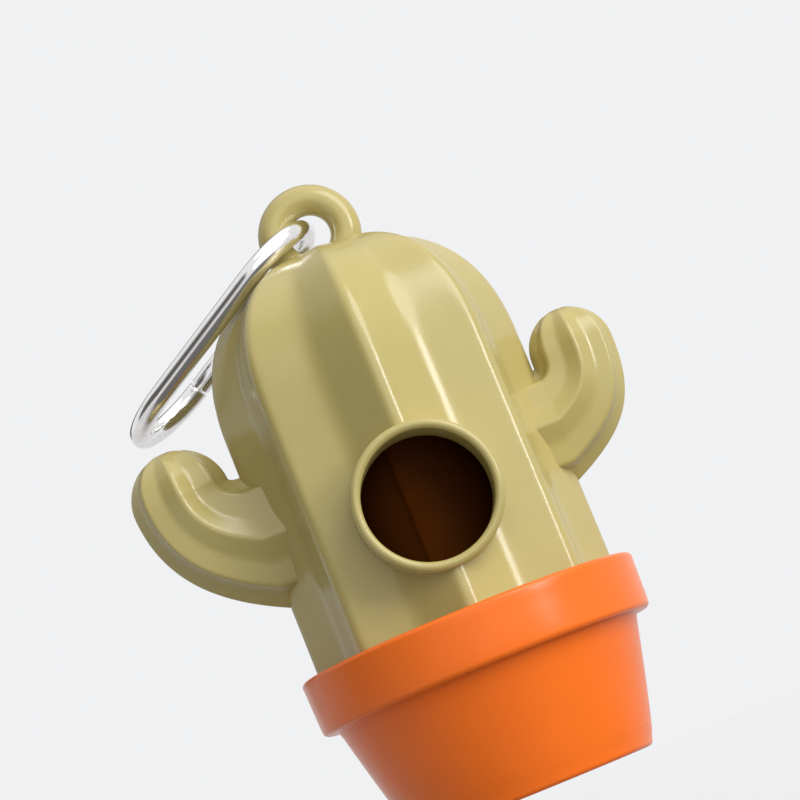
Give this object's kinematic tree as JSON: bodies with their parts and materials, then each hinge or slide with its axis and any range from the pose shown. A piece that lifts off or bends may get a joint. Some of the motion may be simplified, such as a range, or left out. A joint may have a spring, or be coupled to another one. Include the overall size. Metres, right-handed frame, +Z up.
{
  "type": "pet waste bag dispenser",
  "caption": "Ribbed cactus-shaped bag dispenser with a round outlet and two arms, a pull-off pot holding the bag roll, and a spring-gate carabiner in its top loop.",
  "frame": {"origin": "centre of the pot's flat base, on the surface it stands on", "axes": "+Z up along the body axis, -Y the way the bag outlet faces, +X towards the shorter arm"},
  "size_m": [0.0715, 0.0488, 0.0911],
  "materials": {
    "cactus_plastic": "semi-gloss moulded pale olive green",
    "pot_plastic": "semi-gloss moulded terracotta orange",
    "core_card": "plain brown board",
    "bag_film": "dark thin film wound in layers",
    "plated_wire": "bright nickel plate",
    "rivet_steel": "plain drawn steel",
    "spring_steel": "drawn spring wire"
  },
  "bodies": {
    "cactus": {"cactus_body": "cactus_plastic", "outlet_collar": "cactus_plastic", "arm_left": "cactus_plastic", "arm_right": "cactus_plastic"},
    "pot": {"pot": "pot_plastic"},
    "roll": {"bag_roll": "bag_film", "roll_core": "core_card"},
    "carabiner": {"carabiner_frame": "plated_wire", "latch_pin": "rivet_steel"},
    "gate": {"carabiner_gate": "plated_wire", "gate_pin": "rivet_steel", "gate_spring": "spring_steel"},
    "plunger": {"spring_plunger": "rivet_steel"}
  },
  "joints": [
    {"name": "pot_pull", "type": "slide", "parent": "cactus", "child": "pot", "axis": [0, 0, -1], "range_m": [0, 0.066]},
    {"name": "roll_spin", "type": "hinge", "parent": "pot", "child": "roll", "pos_m": [0, 0, 0.0022], "axis": [0, 0, 1], "continuous": true},
    {"name": "carabiner_swing", "type": "hinge", "parent": "cactus", "child": "carabiner", "pos_m": [-0.0008, -0.00025, 0.08482], "axis": [0.2955, 0.9507, 0.0942], "range_deg": [0, 225]},
    {"name": "gate_open", "type": "hinge", "parent": "carabiner", "child": "gate", "pos_m": [-0.00709, 0.01126, 0.08071], "axis": [-0.4691, 0.0585, 0.8812], "range_deg": [0, 24], "stiffness_Nm_per_rad": 0.02, "springref_deg": -20.05},
    {"name": "plunger_slide", "type": "slide", "parent": "gate", "child": "plunger", "axis": [-0.8322, 0.3046, -0.4633], "range_m": [0, 0.0002]}
  ],
  "couplings": [
    {"joint": "plunger_slide", "follows": "gate_open", "m_per_rad": 0.00036}
  ]
}
